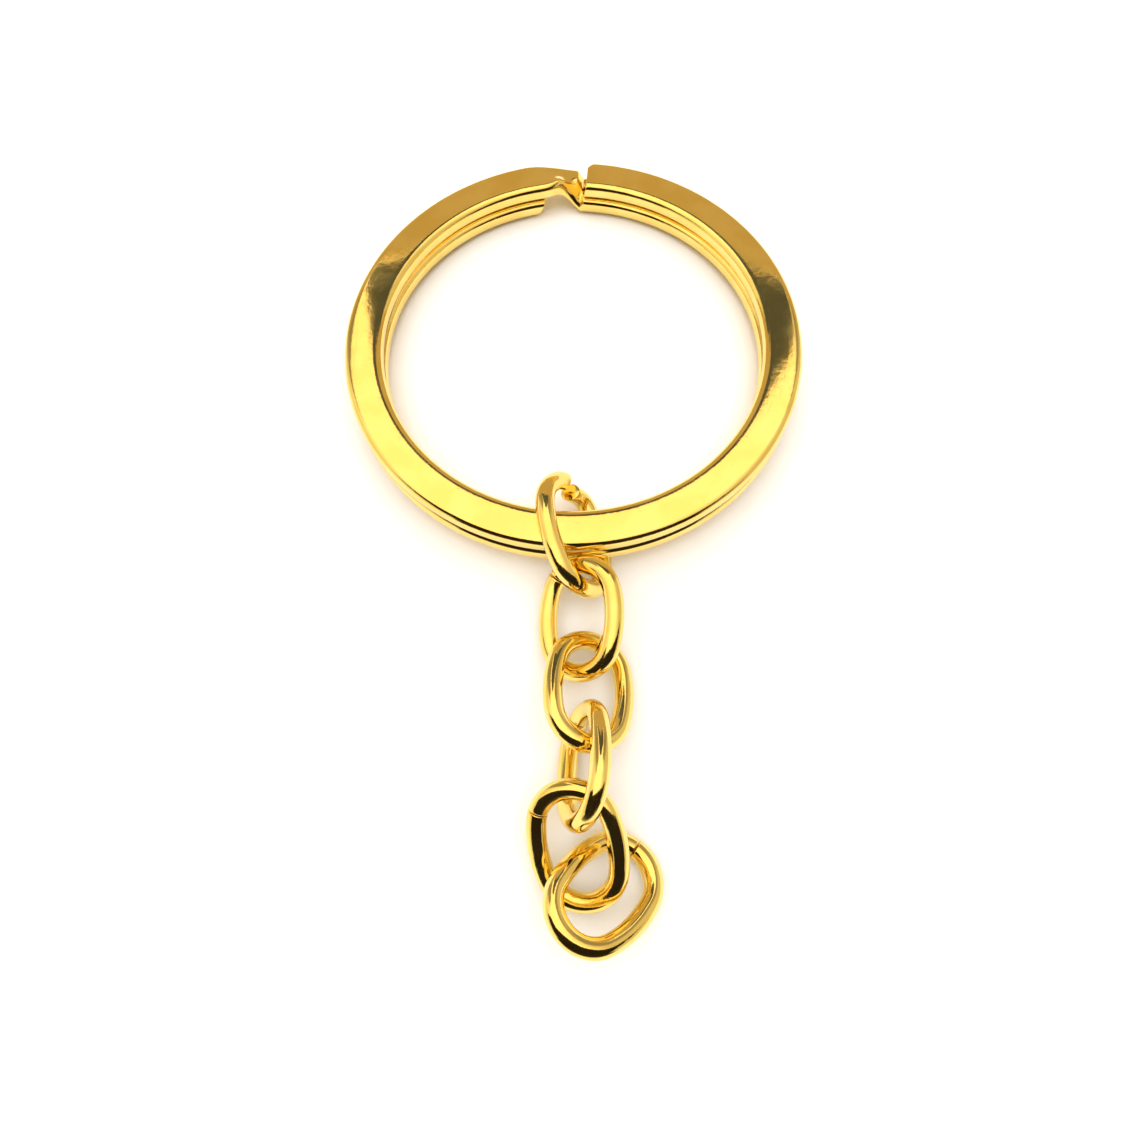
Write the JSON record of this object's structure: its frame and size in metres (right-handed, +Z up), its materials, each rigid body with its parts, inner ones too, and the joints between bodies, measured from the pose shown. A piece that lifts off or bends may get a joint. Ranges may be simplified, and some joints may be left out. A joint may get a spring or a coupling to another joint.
{
  "type": "split key ring",
  "caption": "Flat-wire split key ring wound in two turns, with a short cable chain of oval links lying from its near side.",
  "frame": {"origin": "middle of the bottom of the whole piece's box, on the surface it lies on", "axes": "+Z up, the chain runs towards -Y from the ring, +X to the right of the chain"},
  "size_m": [0.03, 0.052, 0.006],
  "materials": {
    "split_ring": "polished gold plate over brass wire, mirror bright with fine handling scratches",
    "ring_link": "polished gold plate over brass wire, mirror bright with fine handling scratches",
    "chain_link_2": "polished gold plate over brass wire, mirror bright with fine handling scratches",
    "chain_link_3": "polished gold plate over brass wire, mirror bright with fine handling scratches",
    "chain_link_4": "polished gold plate over brass wire, mirror bright with fine handling scratches",
    "chain_link_5": "polished gold plate over brass wire, mirror bright with fine handling scratches",
    "end_link": "polished gold plate over brass wire, mirror bright with fine handling scratches"
  },
  "bodies": {
    "split_ring": {"split_ring": "split_ring"},
    "ring_link": {"ring_link": "ring_link"},
    "chain_link_2": {"chain_link_2": "chain_link_2"},
    "chain_link_3": {"chain_link_3": "chain_link_3"},
    "chain_link_4": {"chain_link_4": "chain_link_4"},
    "chain_link_5": {"chain_link_5": "chain_link_5"},
    "end_link": {"end_link": "end_link"}
  },
  "joints": [
    {"name": "ring_link_travel", "type": "hinge", "parent": "split_ring", "child": "ring_link", "pos_m": [0, 0.01096, 0.00069], "axis": [0, 0.048, 0.9988], "range_deg": [-150, 150]},
    {"name": "chain_link_2_swing", "type": "hinge", "parent": "ring_link", "child": "chain_link_2", "pos_m": [0.00041, -0.00607, 0.00248], "axis": [0.58, 0.166, -0.7975], "range_deg": [-50, 28]},
    {"name": "chain_link_3_swing", "type": "hinge", "parent": "chain_link_2", "child": "chain_link_3", "pos_m": [-0.00043, -0.01098, 0.00193], "axis": [0.8625, -0.1766, 0.4742], "range_deg": [-30, 25]},
    {"name": "chain_link_4_swing", "type": "hinge", "parent": "chain_link_3", "child": "chain_link_4", "pos_m": [-0.00007, -0.01515, 0.00348], "axis": [0.907, -0.194, -0.3737], "range_deg": [-60, 60]},
    {"name": "chain_link_5_swing", "type": "hinge", "parent": "chain_link_4", "child": "chain_link_5", "pos_m": [-0.00044, -0.01915, 0.00424], "axis": [0.4249, 0.3352, 0.8409], "range_deg": [-15, 50]},
    {"name": "end_link_swing", "type": "hinge", "parent": "chain_link_5", "child": "end_link", "pos_m": [-0.0003, -0.02347, 0.00145], "axis": [0.9602, 0.0508, 0.2747], "range_deg": [-15, 18]}
  ]
}
